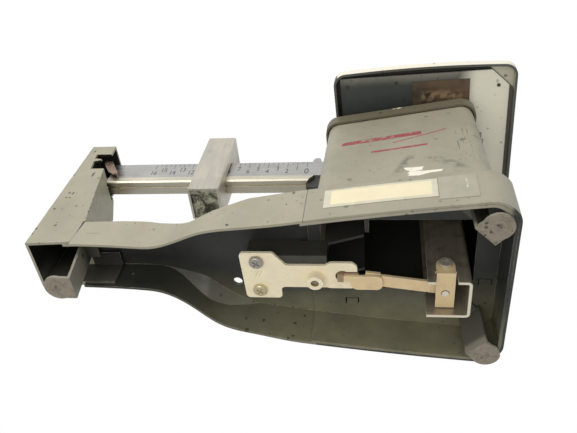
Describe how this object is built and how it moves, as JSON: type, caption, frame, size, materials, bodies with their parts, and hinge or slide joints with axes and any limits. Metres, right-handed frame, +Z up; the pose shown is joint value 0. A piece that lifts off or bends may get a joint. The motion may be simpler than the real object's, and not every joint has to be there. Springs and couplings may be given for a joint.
{
  "type": "beam postal scale",
  "caption": "Low sheet-steel beam scale: square platform on a tapered tower, graduated beam with a sliding weight, long neck to an end post, check link underneath.",
  "frame": {"origin": "under the middle of the whole object, at the plane the feet stand on", "axes": "+Z up, +X along the beam from the end post to the platform, -Y toward the graduated face"},
  "size_m": [0.2778, 0.121, 0.141],
  "materials": {
    "paint": "aged enamel, warm grey-beige, satin",
    "paint_post": "aged enamel, warm grey-beige, satin",
    "bare": "brushed, lightly worn",
    "lead": "dull cast lead, mottled",
    "zinc": "yellowed zinc plate",
    "steel": "bare steel, browned",
    "hard": "ground, hardened",
    "black": "blackened steel",
    "copper": "copper-washed strip",
    "foot": "worn grey paint",
    "pan": "dark grey-green enamel",
    "plate": "light grey primer",
    "label": "blank cream paper label",
    "tape": "clear adhesive tape",
    "patch": "brown adhesive paper",
    "screws": "nickel plated"
  },
  "bodies": {
    "frame": {"base_pan": "paint", "tower_cover": "paint", "end_post": "paint_post", "foot_left": "foot", "foot_front": "foot", "foot_rear": "foot", "fulcrum_stand": "steel", "fulcrum_bearings": "hard", "anchor_bracket": "zinc", "anchor_screws": "screws", "adjust_bushing": "zinc", "label": "label", "label_tape": "tape"},
    "beam": {"beam": "bare", "beam_tip": "copper", "stop_pin": "steel", "poise_stop": "bare", "beam_lever": "black", "beam_rivets": "screws", "fulcrum_knife": "hard", "load_knife": "hard"},
    "poise": {"poise_shell": "bare", "poise_lead": "lead", "poise_screw": "black"},
    "platform": {"platform_pan": "pan", "platform_plate": "plate", "plate_rivets": "steel", "spider": "steel", "tower_cap": "paint", "stem": "steel", "load_bearings": "hard", "stem_clip": "zinc", "clip_screw": "screws", "tape_patch": "patch"},
    "check_link": {"check_link": "zinc", "link_knife": "hard", "link_pin": "copper"},
    "set_screw": {"set_screw": "screws"}
  },
  "joints": [
    {"name": "beam_tilt", "type": "hinge", "parent": "frame", "child": "beam", "pos_m": [0.03485, 0, 0.105], "axis": [0, 1, 0], "range_deg": [-1.2, 1.2]},
    {"name": "poise_slide", "type": "slide", "parent": "beam", "child": "poise", "axis": [1, 0, 0], "range_m": [-0.0508, 0.0508]},
    {"name": "platform_lift", "type": "slide", "parent": "frame", "child": "platform", "axis": [0, 0, 1], "range_m": [-0.00115, 0.00115]},
    {"name": "link_swing", "type": "hinge", "parent": "frame", "child": "check_link", "pos_m": [0.03485, 0, 0.0125], "axis": [0, 1, 0], "range_deg": [-1.25, 1.25]},
    {"name": "set_screw_turn", "type": "hinge", "parent": "frame", "child": "set_screw", "pos_m": [0.02155, 0.0006, 0.0105], "axis": [0, 0, 1], "range_deg": [-90, 90]}
  ],
  "couplings": [
    {"joint": "platform_lift", "follows": "beam_tilt", "m_per_rad": -0.0524},
    {"joint": "link_swing", "follows": "beam_tilt", "ratio": 1}
  ]
}
